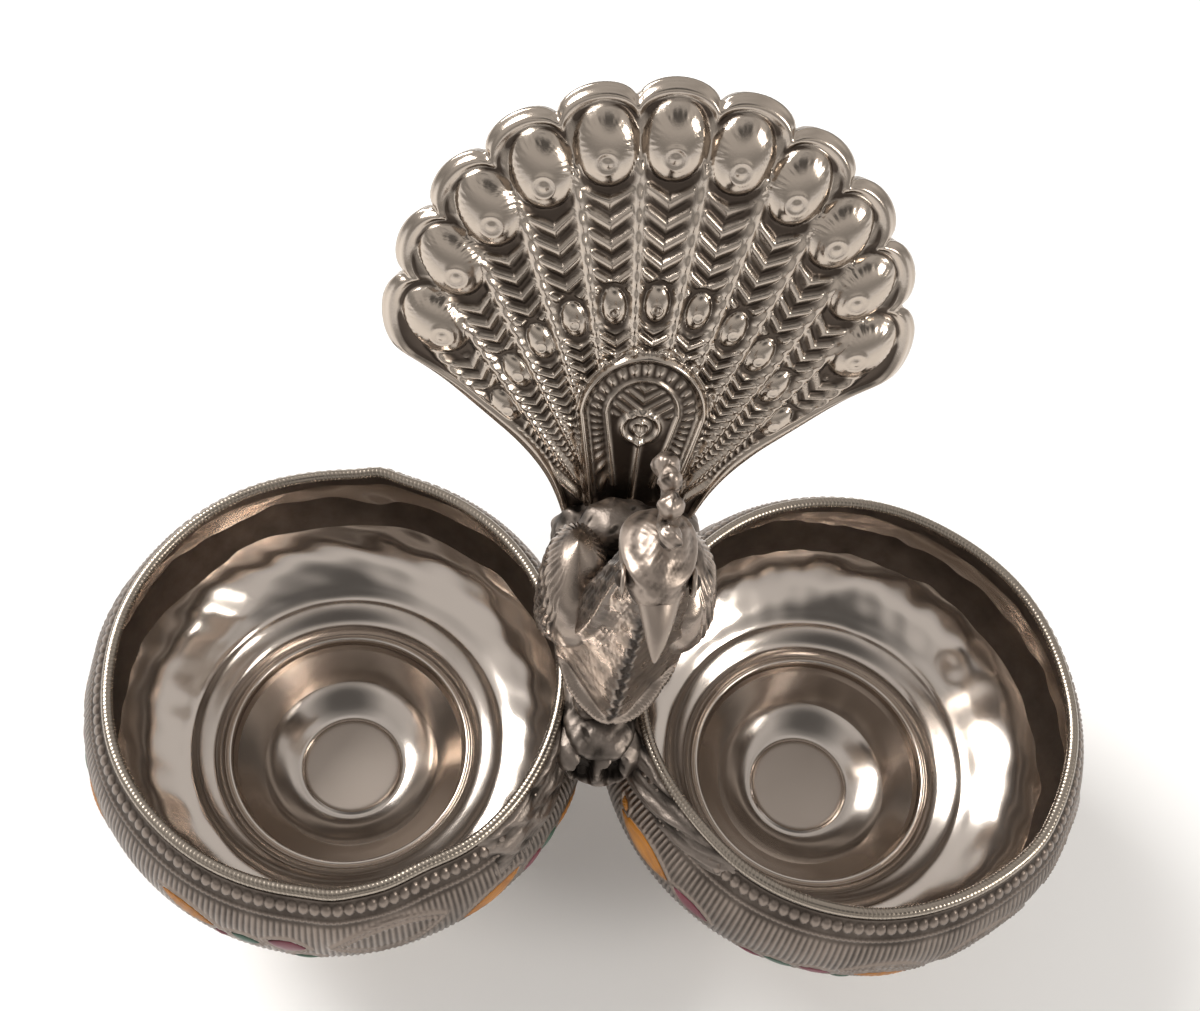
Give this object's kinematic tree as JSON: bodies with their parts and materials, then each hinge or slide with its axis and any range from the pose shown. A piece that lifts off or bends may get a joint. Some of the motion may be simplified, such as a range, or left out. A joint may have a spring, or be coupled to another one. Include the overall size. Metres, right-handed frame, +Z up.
{
  "type": "kumkum holder",
  "caption": "Twin-bowl German silver kumkum holder with a standing peacock between the bowls and a stamped, scalloped fan tail behind it",
  "frame": {"origin": "on the table, midway between the two bowls, under the middle of the saddle", "axes": "X runs from the left bowl to the right bowl, Y from the front to the back, Z is up; the bird faces -Y and its tail stands behind it"},
  "size_m": [0.1186, 0.0586, 0.1071],
  "materials": {
    "polished_silver": "polished",
    "knurled_wire": "polished",
    "stamped_silver": "satin",
    "cast_silver": "satin",
    "rough_solder": "rough"
  },
  "bodies": {
    "root": {"left_bowl": "polished_silver", "right_bowl": "polished_silver", "left_rim_wire": "knurled_wire", "right_rim_wire": "knurled_wire", "left_foot_ring": "polished_silver", "right_foot_ring": "polished_silver", "left_solder": "rough_solder", "right_solder": "rough_solder", "bridge_saddle": "rough_solder", "bird_pedestal": "cast_silver", "left_body_half": "cast_silver", "right_body_half": "cast_silver", "left_wing": "cast_silver", "right_wing": "cast_silver", "head_crest": "cast_silver", "tail_shoe": "rough_solder", "tail_front": "stamped_silver", "tail_back": "stamped_silver"}
  },
  "joints": []
}
